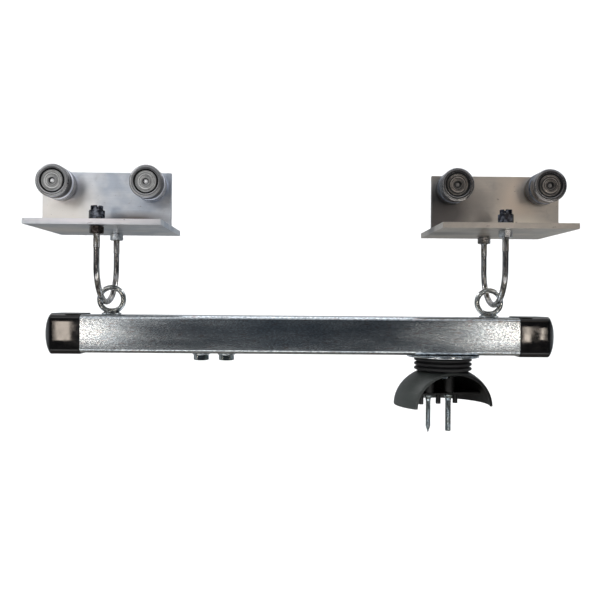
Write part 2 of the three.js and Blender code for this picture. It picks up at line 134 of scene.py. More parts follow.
class Look(Graph):
    """One material: a Principled shader and the nodes in front of it."""

    def __init__(self, name, **fixed):
        self.material = bpy.data.materials.new(name)
        self.material.use_nodes = True
        super().__init__(self.material.node_tree)
        self.shader = self.nodes["Principled BSDF"]
        for socket, value in fixed.items():
            self.shader.inputs[socket].default_value = value
        self.relief = None

    def place(self, sizes, attribute=None):
        """Coordinates that grow by one over each of sizes, in millimetres along X, Y and Z."""
        if attribute:
            vector = self.node("Attribute", attribute_name=attribute, output="Vector")
            scale = [1 / size for size in sizes]
        else:
            vector = self.node("TexCoord", output="Object")
            scale = [1 / (size * MM) for size in sizes]
        return self.node("Mapping", {"Vector": vector, "Scale": scale})

    def noise(self, sizes, detail=3.0, roughness=0.5, attribute=None, distortion=0.0):
        settings = {"Vector": self.place(sizes, attribute), "Scale": 1.0, "Detail": detail}
        settings |= {"Roughness": roughness, "Distortion": distortion}
        return self.node("TexNoise", settings)

    def cells(self, sizes):
        return self.node("TexVoronoi", {"Vector": self.place(sizes), "Scale": 1.0}, output="Color")

    def facing(self, axis):
        """How far the surface faces along an axis of the object, from -1 to 1."""
        normal = self.node("TexCoord", output="Normal")
        return self.node("SeparateXYZ", {0: normal}, output=axis)

    def near(self, point, reach):
        """1 at a point of the object, in millimetres, fading to 0 at reach from it along X, Y and Z."""
        settings = {"Vector": self.node("TexCoord", output="Object")}
        settings["Location"] = [-at / far for at, far in zip(point, reach)]
        settings["Scale"] = [1 / (far * MM) for far in reach]
        placed = self.node("Mapping", settings)
        return self.node("TexGradient", {"Vector": placed}, gradient_type="SPHERICAL")

    def with_painted_light(self, base, painted_patches):
        """Lays painted light and shade on a colour at fixed places of the object, as (point, reach, colour).
        """
        for point, reach, tone in painted_patches:
            base = self.mixed(self.between(self.near(point, reach), 0.0, 0.7), base, tone)
        return base

    def colour(self, socket):
        self.put(socket, self.shader.inputs["Base Color"])

    def roughness(self, socket):
        self.put(socket, self.shader.inputs["Roughness"])

    def bump(self, height, depth, strength=1.0):
        """Adds relief on top of any that is there. depth is in millimetres, for height 0 to 1."""
        settings = {"Height": height, "Distance": depth * MM, "Strength": strength}
        if self.relief:
            settings["Normal"] = self.relief
        self.relief = self.node("Bump", settings)
        self.put(self.relief, self.shader.inputs["Normal"])

    def brushed_round(self, amount):
        """Tool marks that run round the piece's axis draw its highlights out across them."""
        marks = self.node("Attribute", attribute_name="around", output="Vector")
        settings = {"vector_type": "VECTOR", "convert_from": "OBJECT", "convert_to": "WORLD"}
        self.put(self.node("VectorTransform", {0: marks}, **settings), self.shader.inputs["Tangent"])
        self.shader.inputs["Anisotropic"].default_value = amount


def scaled(colour, share):
    return [part * share for part in colour]


# A stud's centre by depth less radius, in millimetres: where its recess, painted dark as shade, starts, where
# that gives way to the pip, which takes a painted glint, and where the pip ends
CENTRE = {"recess": -3.3, "pip": -0.65, "end": 0.9}

# a painted glint for a lit pip, white, and painted shade for a pip that is not lit
PIP_PAINTED_GLINT = (1.0, 1.0, 1.0)
PIP_PAINTED_SHADE = (0.18, 0.17, 0.16)


def turned_steel(name, pale, dark, flank, shine, pip_painted_light=PIP_PAINTED_GLINT):
    """Steel from the lathe: rings of tool marks, a flank toned apart from the end faces, patches of dirt, and
    a pip at the centre with a painted glint, in a recess painted dark as shade.
    """
    look = Look(name, Metallic=1.0)
    rings = look.noise((2.5, 2.5, 0.4), detail=2.0, attribute="turned")
    bands = look.noise((7.0, 7.0, 1.5), detail=1.0, attribute="turned")
    film = look.noise((7, 7, 7), detail=4.0, roughness=0.6)
    spot = look.node("Attribute", attribute_name="turned", output="Vector")
    depth = look.node("SeparateXYZ", {0: spot}, output="Z")
    before_end = look.between(depth, CENTRE["end"] - 0.1, CENTRE["end"], 1.0, 0.0)
    past_recess = look.between(depth, CENTRE["pip"], CENTRE["pip"] + 0.1)
    pip = look.maths("MULTIPLY", past_recess, before_end)
    past_rings = look.between(depth, CENTRE["recess"] - 0.2, CENTRE["recess"])
    recess = look.maths("MULTIPLY", past_rings, before_end)
    end_on = look.between(look.maths("ABSOLUTE", look.facing("Y")), 0.4, 0.9)
    toned = look.mixed(look.between(bands, 0.42, 0.58), dark, pale)
    banded = look.mixed(look.between(bands, 0.45, 0.55), scaled(flank, 0.35), flank)
    sided = look.mixed(end_on, banded, toned)
    streaked = look.mixed(look.between(rings, 0.45, 0.6, 0.0, 0.7), sided, scaled(dark, 0.6))
    soiled = look.mixed(look.between(film, 0.55, 0.75, 0.0, 0.5), streaked, scaled(dark, 0.45))
    # the recess round the pip is painted near black, as shade
    sunk = look.mixed(recess, soiled, (0.03, 0.03, 0.03))
    # the pip takes its painted glint, white on the left studs and shaded on the right, and turns hardly
    # metallic so that the glint stays bright
    look.colour(look.mixed(pip, sunk, pip_painted_light))
    look.put(look.between(pip, 0.0, 1.0, 1.0, 0.1), look.shader.inputs["Metallic"])
    look.roughness(look.between(look.maths("ADD", rings, film), 0.7, 1.35, shine, shine + 0.22))
    look.bump(rings, 0.04)
    look.bump(bands, 0.12)
    look.brushed_round(0.6)
    return look.material


def rolled_aluminium(name, pale, cool, painted_patches):
    """Mill-finish bar: drawn lines along it, cloudy oxide, smudges, scratches, nicks, and painted light and
    shade at fixed places.
    """
    look = Look(name, Metallic=1.0)
    lines = look.noise((60, 0.35, 0.35), detail=3.0, roughness=0.65)
    clouds = look.noise((34, 34, 26), detail=3.0, roughness=0.55)
    smudge = look.noise((9, 9, 9), detail=5.0, roughness=0.65, distortion=0.6)
    scratch = look.noise((1.0, 9.0, 0.25), detail=1.0, distortion=1.2)
    cloudy = look.mixed(look.between(clouds, 0.38, 0.6), cool, pale)
    lined = look.mixed(look.between(lines, 0.35, 0.75, 0.0, 0.35), cloudy, scaled(cool, 0.72))
    soiled = look.mixed(look.between(smudge, 0.55, 0.78, 0.0, 0.4), lined, scaled(pale, 0.6))
    scored = look.mixed(look.between(scratch, 0.72, 0.8, 0.0, 0.5), soiled, pale)
    nicks = look.noise((7, 3, 3), detail=4.0, roughness=0.6)
    # painted light and shade at fixed places of the bar
    with_painted_light = look.with_painted_light(scored, painted_patches)
    look.colour(look.mixed(look.between(nicks, 0.66, 0.72, 0.0, 0.6), with_painted_light, (0.22, 0.17, 0.15)))
    look.roughness(look.between(look.maths("ADD", lines, smudge), 0.75, 1.35, 0.28, 0.46))
    look.bump(lines, 0.03)
    look.bump(look.between(scratch, 0.7, 0.82), 0.03, 0.5)
    look.bump(smudge, 0.02)
    return look.material


def zinc_plate(name, pale, dark, shine, grain):
    """Electroplated zinc: a faint play of blue and straw, and dull handled patches as long as grain."""
    look = Look(name, Metallic=1.0)
    tint = look.noise((6, 6, 6), detail=2.0)
    dull = look.noise(grain, detail=4.0, roughness=0.6)
    straw = [pale[0] * 1.02, pale[1] * 0.96, pale[2] * 0.86]
    tinted = look.mixed(look.between(tint, 0.4, 0.66), pale, straw)
    look.colour(look.mixed(look.between(dull, 0.42, 0.62, 0.0, 0.85), tinted, dark))
    look.roughness(look.between(dull, 0.35, 0.75, shine, shine + 0.14))
    look.bump(dull, 0.006)
    return look.material


def galvanised_tube(name):
    """Zinc-coated tube: a fine crystal grain, faint lines drawn along it, and dull and brown smears."""
    look = Look(name, Metallic=1.0)
    drawn = look.noise((90, 0.9, 0.9), detail=4.0, roughness=0.65)
    blotch = look.noise((60, 12, 12), detail=3.0, roughness=0.5)
    grain = look.noise((3.2, 1.3, 1.3), detail=4.0, roughness=0.7)
    spangle = look.cells((2.6, 1.8, 1.8))
    smear = look.noise((12, 1.6, 1.6), detail=4.0, roughness=0.6)
    base = look.mixed(look.between(blotch, 0.36, 0.64), (0.56, 0.62, 0.67), (0.70, 0.75, 0.78))
    spangled = look.mixed(look.between(spangle, 0.2, 0.9, 0.0, 0.45), base, (0.95, 0.97, 0.99))
    grainy = look.mixed(look.between(grain, 0.42, 0.62, 0.0, 0.75), spangled, (0.22, 0.25, 0.28))
    lined = look.mixed(look.between(drawn, 0.52, 0.7, 0.0, 0.5), grainy, (0.32, 0.35, 0.38))
    look.colour(look.mixed(look.between(smear, 0.57, 0.7, 0.0, 0.6), lined, (0.30, 0.17, 0.13)))
    look.roughness(look.between(look.maths("ADD", blotch, grain), 0.75, 1.3, 0.15, 0.25))
    look.bump(drawn, 0.004)
    look.bump(grain, 0.009)
    return look.material


def gloss_plastic(name):
    """Polished black moulding: almost a mirror, with handling haze and hair scratches."""
    look = Look(name, IOR=1.5)
    haze = look.noise((11, 11, 11), detail=4.0, roughness=0.6)
    hair = look.noise((0.5, 14, 0.5), detail=2.0, distortion=0.8)
    look.colour(look.mixed(haze, (0.002, 0.002, 0.002), (0.007, 0.006, 0.006)))
    hazed = look.between(haze, 0.45, 0.8, 0.04, 0.11)
    scratched = look.between(hair, 0.7, 0.8, 0.0, 0.15)
    look.roughness(look.maths("ADD", hazed, scratched))
    look.bump(look.noise((9, 9, 9), detail=1.0), 0.008)
    return look.material


def satin_plastic(name, low, high, rough, painted_patches=()):
    """Moulded black plastic with a fine spark-eroded grain, scuffed paler on what gets touched, with painted
    shade laid on at fixed places where given.
    """
    look = Look(name, IOR=1.47)
    grain = look.noise((0.45, 0.45, 0.45), detail=2.0)
    scuff = look.noise((8, 8, 3.5), detail=5.0, roughness=0.65, distortion=0.4)
    flow = look.noise((40, 40, 12), detail=2.0)
    base = look.mixed(flow, low, high)
    scuffed = look.mixed(look.between(scuff, 0.58, 0.8, 0.0, 0.7), base, scaled(high, 2.2))
    # painted shade at fixed places, where given
    look.colour(look.with_painted_light(scuffed, painted_patches))
    look.roughness(look.between(look.maths("ADD", scuff, grain), 0.7, 1.4, rough, rough + 0.2))
    look.bump(grain, 0.025)
    look.bump(scuff, 0.03)
    return look.material


def soft_rubber(name):
    """Black rubber with a fine grain, and a little dust on it."""
    look = Look(name, IOR=1.45)
    grain = look.noise((0.6, 0.6, 0.6), detail=3.0)
    dust = look.noise((5, 5, 5), detail=4.0)
    dusty = look.between(dust, 0.55, 0.8, 0.0, 0.6)
    look.colour(look.mixed(dusty, (0.007, 0.007, 0.007), (0.035, 0.032, 0.03)))
    look.roughness(look.between(grain, 0.3, 0.7, 0.6, 0.85))
    look.bump(grain, 0.05)
    return look.material


def oiled_steel(name, pale, dark):
    """Blackened steel: a dark oxide that has rubbed paler, with oil in it."""
    look = Look(name, Metallic=1.0)
    rubbed = look.noise((4.5, 4.5, 4.5), detail=4.0, roughness=0.55)
    patch = look.noise((7, 7, 7), detail=2.0)
    look.colour(look.mixed(look.between(rubbed, 0.48, 0.68), dark, pale))
    look.roughness(look.between(look.maths("ADD", rubbed, patch), 0.7, 1.3, 0.2, 0.42))
    look.bump(rubbed, 0.04)
    return look.material


def pale_floor():
    look = Look("pale_floor")
    tone = look.noise((300, 300, 300), detail=2.0)
    look.colour(look.mixed(tone, (0.93, 0.93, 0.93), (0.96, 0.96, 0.96)))
    look.roughness(look.between(tone, 0.3, 0.7, 0.85, 0.95))
    return look.material


# painted light and shade at fixed places of a piece, as (point, reach, colour), in millimetres from the row's
# origin
LEFT_PAINTED_LIGHT = (
    ((-285, 0, -12), (60, 55, 50), (1.0, 0.96, 0.91)),  # a painted warm reflection low on the left
    ((-198, 0, -22), (50, 20, 13), (0.20, 0.18, 0.17)),  # a painted shadow along the foot of the web
    ((-215, -63.5, -29), (110, 5, 6), (1.0, 0.97, 1.0)),  # a painted highlight along the plate's sawn front edge
)
RIGHT_PAINTED_LIGHT = (
    ((168, 0, -8), (66, 30, 52), (0.22, 0.21, 0.21)),  # painted shade over the left end
    ((258, 0, 12), (30, 30, 52), (1.0, 0.88, 0.76)),  # a painted warm highlight up the web
    ((266, 0, -22), (34, 20, 14), (1.0, 0.94, 0.84)),  # and a painted warm reflection along its foot
)
DOME_PAINTED_SHADE = (
    ((171, 10, -225), (42, 50, 36), (0.001, 0.001, 0.001)),  # painted shade in the hollow
    ((222, 0, -225), (100, 150, 110), (0.003, 0.003, 0.003)),  # painted shade over the right side, blacker than the left
)

LOOK_SETTINGS = {
    # name: what makes it, and what that asks for after the name
    # the two bars differ in tone as painted light: the left cooler and bluer, the right browner and warmer
    "aluminium_left": (rolled_aluminium, (0.84, 0.86, 0.90), (0.60, 0.65, 0.73), LEFT_PAINTED_LIGHT),
    "aluminium_right": (rolled_aluminium, (0.84, 0.78, 0.71), (0.68, 0.64, 0.59), RIGHT_PAINTED_LIGHT),
    # the left and right roller, stud and rear roller looks differ in tone as painted light and shade: the
    # left faces and studs paler as lit, the right ones darker as shaded, and the left rear rollers pale
    # lavender against the right ones' dark grey
    "roller_left": (turned_steel, (0.66, 0.66, 0.66), (0.22, 0.22, 0.23), (0.10, 0.10, 0.11), 0.24),
    "roller_right": (turned_steel, (0.45, 0.44, 0.43), (0.09, 0.09, 0.10), (0.30, 0.31, 0.34), 0.16),
    "stud_left": (turned_steel, (1.0, 1.0, 0.98), (0.40, 0.40, 0.40), (0.5, 0.5, 0.5), 0.32),
    "stud_right": (turned_steel, (0.58, 0.52, 0.47), (0.07, 0.07, 0.07), (0.3, 0.3, 0.3), 0.2, PIP_PAINTED_SHADE),
    "rear_left": (turned_steel, (0.90, 0.91, 0.98), (0.72, 0.74, 0.84), (0.93, 0.95, 1.0), 0.4),
    "rear_right": (turned_steel, (0.22, 0.24, 0.28), (0.08, 0.09, 0.11), (0.13, 0.15, 0.19), 0.22),
    "zinc": (zinc_plate, (0.80, 0.86, 0.92), (0.32, 0.34, 0.37), 0.10, (7, 7, 7)),
    "bolt": (zinc_plate, (0.46, 0.51, 0.53), (0.07, 0.09, 0.09), 0.08, (7, 7, 7)),
    "eye": (zinc_plate, (0.62, 0.65, 0.66), (0.16, 0.17, 0.18), 0.12, (6, 6, 9)),
    "zinc_dull": (zinc_plate, (0.30, 0.30, 0.31), (0.08, 0.08, 0.08), 0.2, (5, 5, 5)),
    "rod": (zinc_plate, (0.56, 0.56, 0.57), (0.06, 0.06, 0.07), 0.09, (4, 4, 18)),
    "screw": (zinc_plate, (0.62, 0.72, 0.78), (0.14, 0.17, 0.20), 0.14, (1.4, 1.4, 3)),
    "galvanised_tube": (galvanised_tube,),
    "gloss_plastic": (gloss_plastic,),
    "dome": (satin_plastic, (0.040, 0.046, 0.043), (0.064, 0.072, 0.068), 0.38, DOME_PAINTED_SHADE),
    "collar": (satin_plastic, (0.008, 0.008, 0.009), (0.016, 0.016, 0.017), 0.42),
    "soft_rubber": (soft_rubber,),
    "spacer": (oiled_steel, (0.14, 0.14, 0.15), (0.04, 0.04, 0.045)),
    "black_nut": (oiled_steel, (0.30, 0.32, 0.38), (0.045, 0.047, 0.058)),
    "brown_nut": (oiled_steel, (0.20, 0.17, 0.16), (0.035, 0.028, 0.026)),
}
LOOKS = {name: make(name, *settings) for name, (make, *settings) in LOOK_SETTINGS.items()}
LOWER_NUT_LOOKS = {
    "left_front": "brown_nut",
    "left_rear": "zinc",
    "right_front": "zinc",
    "right_rear": "zinc_dull",
}


# -------- mesh building
def softened(profile, size, steps=2):
    """The same line with each inner corner rounded off, by size millimetres each way where there is room."""
    points = [Vector(point) for point in profile]
    line = [points[0]]
    for before, corner, after in zip(points, points[1:], points[2:]):
        back, ahead = before - corner, after - corner
        reach = min(size, 0.45 * back.length, 0.45 * ahead.length)
        start = corner + back.normalized() * reach
        end = corner + ahead.normalized() * reach
        for step in range(steps + 1):
            share = step / steps
            line.append(start.lerp(corner, share).lerp(corner.lerp(end, share), share))
    line.append(points[-1])
    return line


def skin(mesh, rows, closed=False):
    """Joins rows of points into faces. Each row is a closed loop, or one point where the shape closes."""
    made = [[mesh.verts.new(point) for point in row] for row in rows]
    pairs = list(zip(made, made[1:]))
    if closed:
        pairs.append((made[-1], made[0]))
    for low, high in pairs:
        count = max(len(low), len(high))
        for i in range(count):
            j = (i + 1) % count
            if len(low) == 1:
                corners = (low[0], high[j], high[i])
            elif len(high) == 1:
                corners = (low[i], low[j], high[0])
            else:
                corners = (low[i], low[j], high[j], high[i])
            mesh.faces.new(corners)


def polar(radius, angle, height=0.0):
    return Vector((radius * math.cos(angle), radius * math.sin(angle), height))


def ring_row(radius, height, sides):
    """A circle of points, or the one point that it comes down to on the axis."""
    if radius == 0:
        return [Vector((0, 0, height))]
    return [polar(radius, 2 * math.pi * i / sides, height) for i in range(sides)]


def turned(mesh, profile, sides, closed=False):
    """A turned shape about Z, from a line of (radius, height)."""
    skin(mesh, [ring_row(radius, height, sides) for radius, height in profile], closed)


def turned_ring(mesh, profile, soft, sides=ROUND_SIDES):
    """A turned ring: its profile is a loop that stays off the axis, and starts where no corner matters."""
    turned(mesh, softened(profile, soft)[:-1], sides, closed=True)


THREAD_ROWS = 4  # per pitch


def thread_depth(turns):
    """How deep a V thread's groove is after a number of turns, from 0 at its crest to 1 at its root."""
    return 1 - abs(1 - 2 * (turns % 1))


def thread_rows(radius, depth, pitch, bottom, top, taper=None, sides=ROD_SIDES):
    """Rows of a screw thread about Z from bottom to top. taper(height) narrows it."""
    count = math.ceil((top - bottom) / pitch * THREAD_ROWS)
    rows = []
    for row in range(count + 1):
        height = bottom + (top - bottom) * row / count
        fade = min(1.0, row / THREAD_ROWS, (count - row) / THREAD_ROWS)
        reach = radius * (taper(height) if taper else 1.0)
        points = []
        for side in range(sides):
            share = side / sides
            here = reach - min(depth, reach * 0.5) * fade * thread_depth(height / pitch - share)
            points.append(polar(here, 2 * math.pi * share, height))
        rows.append(points)
    return rows


HEX_OFFSETS = (2, 8, 15, 22, 30, 38, 45, 52, 58)  # degrees past a corner, which a narrow flat takes off
HEX_ANGLES = [math.radians(60 * corner + offset) for corner in range(6) for offset in HEX_OFFSETS]


def hex_reach(flats, angle):
    """From the middle of a hexagon to its side, in the direction of angle."""
    return flats / 2 / math.cos(angle % math.radians(60) - math.radians(30))


def hex_circle(radius, height):
    return [polar(radius, angle, height) for angle in HEX_ANGLES]


def hex_edge(flats, height, slope):
    """The outline of a hexagon whose corners are turned off by slope: below height for -1, above for 1."""
    row = []
    for angle in HEX_ANGLES:
        reach = hex_reach(flats, angle)
        drop = max(0.0, reach - flats / 2 * 0.97) * math.tan(math.radians(30))
        row.append(polar(reach, angle, height + slope * drop))
    return row


def hex_nut(mesh, flats, bore, bottom, top):
    lead = 0.6  # chamfer at each mouth of the bore
    face = flats / 2 * 0.95
    rows = [
        hex_circle(bore, bottom + lead), hex_circle(bore + lead, bottom), hex_circle(face, bottom),
        hex_edge(flats, bottom, 1), hex_edge(flats, top, -1),
        hex_circle(face, top), hex_circle(bore + lead, top), hex_circle(bore, top - lead),
    ]
    skin(mesh, rows, closed=True)


def hex_head(mesh, flats, bottom, top):
    """A bolt head with its chamfered face down, as it hangs, and a raised round washer face on top."""
    face = flats / 2 * 0.93
    dish, step = 0.3, 0.4
    rows = [
        [Vector((0, 0, bottom + dish))], hex_circle(face * 0.82, bottom + dish),
        hex_circle(face * 0.88, bottom), hex_circle(face, bottom),
        hex_edge(flats, bottom, 1), hex_edge(flats, top - step, 0),
        hex_circle(face, top - step), hex_circle(face * 0.98, top), [Vector((0, 0, top))],
    ]
    skin(mesh, rows)


def rounded_square(half, corner, x):
    """A loop in the plane at x, half a side from its middle to each flat."""
    flat = half - corner
    steps = 6
    points = []
    for quarter, (side_y, side_z) in enumerate(((1, 1), (-1, 1), (-1, -1), (1, -1))):
        for step in range(steps + 1):
            angle = math.radians(90) * (quarter + step / steps)
            y = side_y * flat + corner * math.cos(angle)
            z = side_z * flat + corner * math.sin(angle)
            points.append(Vector((x, y, z)))
    return points


def finished(mesh, node, how, place, body, look, also=()):
    """Turns a mesh in millimetres into the piece that stands for a node, and for also, and rides on a body.

    Two attributes go with it for turned_steel: "turned", a place in the lathe's own terms, with depth less
    radius as its Z, and "around", the way that the tool went.
    """
    bmesh.ops.remove_doubles(mesh, verts=mesh.verts, dist=1e-4)
    bmesh.ops.recalc_face_normals(mesh, faces=mesh.faces)
    turned_place = mesh.verts.layers.float_vector.new("turned")
    around = mesh.verts.layers.float_vector.new("around")
    for vert in mesh.verts:
        radius = math.hypot(vert.co.x, vert.co.y)
        angle = math.atan2(vert.co.y, vert.co.x)
        vert[turned_place] = polar(1, angle, vert.co.z - radius)
        vert[around] = place.to_3x3() @ polar(1, angle + math.radians(90))
    for face in mesh.faces:
        face.smooth = True
    for edge in mesh.edges:
        edge.smooth = len(edge.link_faces) == 2 and edge.calc_face_angle() < SHARP
    mesh.transform(Matrix.Scale(MM, 4) @ place)
    data = bpy.data.meshes.new(f"{node}_{how}")
    mesh.to_mesh(data)
    mesh.free()
    data.materials.append(LOOKS[look])
    piece = bpy.data.objects.new(f"{node}_{how}", data)
    bpy.context.scene.collection.objects.link(piece)
    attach(piece, body)
    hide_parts(node, *also)


def box_mm(node):
    low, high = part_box(node)
    return low / MM, high / MM


def middle_of(node):
    low, high = box_mm(node)
    return (low + high) / 2


BACKWARDS = Matrix.Rotation(math.radians(-90), 4, "X")  # a shape about Z then runs along +Y


def along_y(node):
    """Puts z = 0 of a shape about Z at the node's front, on its axis."""
    middle = middle_of(node)
    return Matrix.Translation((middle.x, box_mm(node)[0].y, middle.z)) @ BACKWARDS


def upwards(node):
    """Puts z = 0 of a shape about Z at the node's lowest level, on its axis."""
    middle = middle_of(node)
    return Matrix.Translation((middle.x, middle.y, box_mm(node)[0].z))


def size_of(node):
    low, high = box_mm(node)
    return high - low


def thickness_of(node, place):
    """Its length along its own axis, where place is along_y or upwards."""
    size = size_of(node)
    return size.y if place is along_y else size.z


# -------- trolleys
def add_t_bar(side):
    """The CAD bar is right as it is, so it only loses its knife edges and gains its metal."""
    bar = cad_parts[f"{side}_t_bar"]
    bar.data.materials.clear()
    # each bar's look carries painted light and shade, in its tone and at fixed places
    bar.data.materials.append(LOOKS[f"aluminium_{side}"])
    for polygon in bar.data.polygons:
        polygon.use_smooth = False
    bevel = bar.modifiers.new("edges", "BEVEL")
    bevel.width = 0.45 * MM
    bevel.segments = 3
    bevel.limit_method = "ANGLE"
    bevel.angle_limit = math.radians(40)
    bevel.harden_normals = True


def front_tread(outer, width, bore=ROLLER_BORE):
    """A front roller's line: a deep seat for the seal in its face, and a groove round its tread."""
    seat, recess = 14.2, 3.2
    return [
        (bore, width / 2), (bore, recess), (seat, recess), (seat, 0.35), (seat + 0.35, 0.0),
        (outer - 2.2, 0.0), (outer - 1.9, 0.25), (outer - 1.0, 0.25), (outer, 1.1),
        (outer, 4.2), (outer - 0.35, 4.5), (outer - 0.35, 5.1), (outer, 5.4),
        (outer, width - 1.4), (outer - 1.2, width), (outer - 4.5, width), (outer - 5.0, width - 0.5),
        (bore, width - 0.5), (bore, width / 2),
    ]


def rear_tread(outer, width, bore=ROLLER_BORE):
    return [
        (bore, width / 2), (bore, 0.5), (outer - 5.0, 0.5), (outer - 4.5, 0.0), (outer - 1.3, 0.0),
        (outer, 1.2), (outer, width - 1.2), (outer - 1.3, width), (outer - 4.5, width),
        (outer - 5.0, width - 0.5), (bore, width - 0.5), (bore, width / 2),
    ]


def add_roller(node, line, soft, look):
    size = size_of(node)
    mesh = bmesh.new()
    turned_ring(mesh, line(size.x / 2, size.y), soft)
    finished(mesh, node, "turned", along_y(node), node, look)


STUD_RINGS = ((11.2, 10.6), (9.0, 8.3), (6.9, 6.1), (4.9, 4.2))  # grooves turned in the stud's head


def add_stud(node, body, look):
    """A stud with grooves turned in its head round a small domed pip, and a thread behind the web."""
    size = size_of(node)
    head, length = size.x / 2, size.y
    thick, shaft, thread = 2.4, 8.0, 5
    shoulder, shoulder_thick = 11, 2.5
    web_front = -middle_of(node).y + length / 2 - HALF_WEB
    shoulder_back = web_front - 0.3
    thread_from = web_front + 2 * HALF_WEB + 0.25
    profile = [(0, 0.2), (0.9, 0.4), (1.6, 1.1), (1.8, 1.8), (3.0, 1.8), (3.3, 0.2), (3.5, 0.0)]
    for outside, inside in reversed(STUD_RINGS):
        profile += [(inside - 0.2, 0.0), (inside, 0.3), (outside - 0.15, 0.3), (outside, 0.0)]
    profile += [(head - 0.5, 0.0), (head, 0.5), (head, thick), (shaft, thick)]
    profile += [(shaft, shoulder_back - shoulder_thick), (shoulder, shoulder_back - shoulder_thick)]
    profile += [(shoulder, shoulder_back), (thread, shoulder_back), (thread, thread_from)]
    line = softened(profile, 0.12)
    rows = [ring_row(radius, height, FINE_SIDES) for radius, height in line]
    rows += thread_rows(thread, 0.75, 1.5, thread_from + 0.1, length - 0.8, sides=FINE_SIDES)
    rows += [ring_row(thread - 0.8, length, FINE_SIDES), ring_row(0, length, FINE_SIDES)]
    mesh = bmesh.new()
    skin(mesh, rows)
    finished(mesh, node, "turned", along_y(node), body, look)


def add_plain_ring(node, body, look, inner, place, soft=0.3):
    """A washer, seal, spacer or disc: a turned ring with its edges taken off."""
    outer = size_of(node).x / 2
    thick = thickness_of(node, place)
    mesh = bmesh.new()
    turned_ring(mesh, [
        (inner, thick / 2), (inner, 0), (outer, 0), (outer, thick), (inner, thick), (inner, thick / 2),
    ], soft=soft)
    finished(mesh, node, "ring", place(node), body, look)


def across_flats(node):
    """A hexagon with its corners on X is as wide over them as its node."""
    return size_of(node).x * math.sqrt(3) / 2


def add_hex_nut(node, body, bore, place, look="zinc"):
    mesh = bmesh.new()
    hex_nut(mesh, across_flats(node), bore, 0, thickness_of(node, place))
    finished(mesh, node, "hex", place(node), body, look)


def add_station(station):
    side = station.split("_")[0]
    body = f"{side}_trolley"
    # the left and right copies of these looks differ in tone as painted light and shade
    add_roller(f"{station}_front_roller", front_tread, 0.18, f"roller_{side}")
    add_roller(f"{station}_rear_roller", rear_tread, 0.3, f"rear_{side}")
    add_stud(f"{station}_stud", body, f"stud_{side}")
    add_plain_ring(f"{station}_seal", body, "soft_rubber", SEAL_BORE, along_y)
    add_plain_ring(f"{station}_spacer", body, "spacer", ROLLER_BORE, along_y)
    add_hex_nut(f"{station}_axle_nut", body, M10_BORE, along_y)


ROD = {"narrow": 3.4, "wide": 3.95, "thread_steps": 124, "bend_steps": 56, "pitch": 1.41, "depth": 0.55}


def u_bolt_path(node, thread_from):
    """Places down the front leg, round the bend and up the rear leg, as (point, way along, threaded)."""
    low, high = box_mm(node)
    x = (low.x + high.x) / 2
    leg = (high.y - low.y) / 2 - ROD["wide"]
    bend = low.z + ROD["narrow"] + leg
    steps = ROD["thread_steps"]
    levels = [(high.z + (thread_from - high.z) * step / steps, True) for step in range(steps + 1)]
    levels.append((thread_from - 1, False))
    places = [(Vector((x, -leg, z)), Vector((0, 0, -1)), threaded) for z, threaded in levels]
    for step in range(ROD["bend_steps"] + 1):
        angle = math.pi * (1 + step / ROD["bend_steps"])
        point = Vector((x, leg * math.cos(angle), bend + leg * math.sin(angle)))
        places.append((point, Vector((0, -math.sin(angle), math.cos(angle))), False))
    places += [(Vector((x, leg, z)), Vector((0, 0, 1)), threaded) for z, threaded in reversed(levels)]
    return places


def add_u_bolt(side):
    """One bent rod. Its two ends are rolled to a thread a little wider than the rod."""
    node = f"{side}_u_bolt"
    top = box_mm(node)[1].z
    below_nut = 15.7
    path = u_bolt_path(node, box_mm(f"{side}_front_lower_nut")[0].z - below_nut)
    across = Vector((1, 0, 0))
    rows = []
    for point, along, threaded in path:
        inwards = along.cross(across)
        lead = 0.6 * (1 - min(1.0, (top - point.z) / 0.8))
        sense = 1 if along.z > 0 else -1
        row = []
        for corner in range(ROD_SIDES):
            angle = 2 * math.pi * corner / ROD_SIDES
            reach = ROD["narrow"]
            if threaded:
                turns = point.z / ROD["pitch"] - sense * corner / ROD_SIDES
                reach = ROD["wide"] - ROD["depth"] * thread_depth(turns) - lead
            row.append(point + reach * (math.cos(angle) * across + math.sin(angle) * inwards))
        rows.append(row)
    first, last = path[0][0], path[-1][0]
    mesh = bmesh.new()
    skin(mesh, [[first], *rows, [last]])
    finished(mesh, node, "bent", Matrix.Identity(4), f"{side}_trolley", "rod")


CASTLE = {"hex": 9.5, "crown": 6.8, "sunk": 1, "slots": 6, "slot": 2.6, "steps": 6}


def add_castle_nut(node, body):
    """A slotted nut: a hexagon with a crown of six teeth on top."""
    bore, outer = LEG_BORE, CASTLE["crown"]
    low, high = CASTLE["hex"] - CASTLE["sunk"], size_of(node).z
    mesh = bmesh.new()
    hex_nut(mesh, across_flats(node), bore, 0, CASTLE["hex"])
    section = softened([
        (bore, low + 0.5), (bore, low), (outer, low), (outer, high), (bore, high), (bore, low + 0.5),
    ], 0.4)[:-1]
    half_slot = CASTLE["slot"] / 2 / outer
    share = 2 * math.pi / CASTLE["slots"]
    for slot in range(CASTLE["slots"]):
        start = share * slot + half_slot
        end = share * (slot + 1) - half_slot
        rows = []
        for step in range(CASTLE["steps"] + 1):
            angle = start + (end - start) * step / CASTLE["steps"]
            rows.append([polar(radius, angle, height) for radius, height in section])
        skin(mesh, rows)
        for row in (rows[0], rows[-1]):
            close_row(mesh, row)
    finished(mesh, node, "slotted", upwards(node), body, "black_nut")


def close_row(mesh, row):
    """Fills the flat end that a row of points goes round."""
    verts = [min(mesh.verts, key=lambda vert: (vert.co - point).length_squared) for point in row]
    mesh.faces.new(verts)


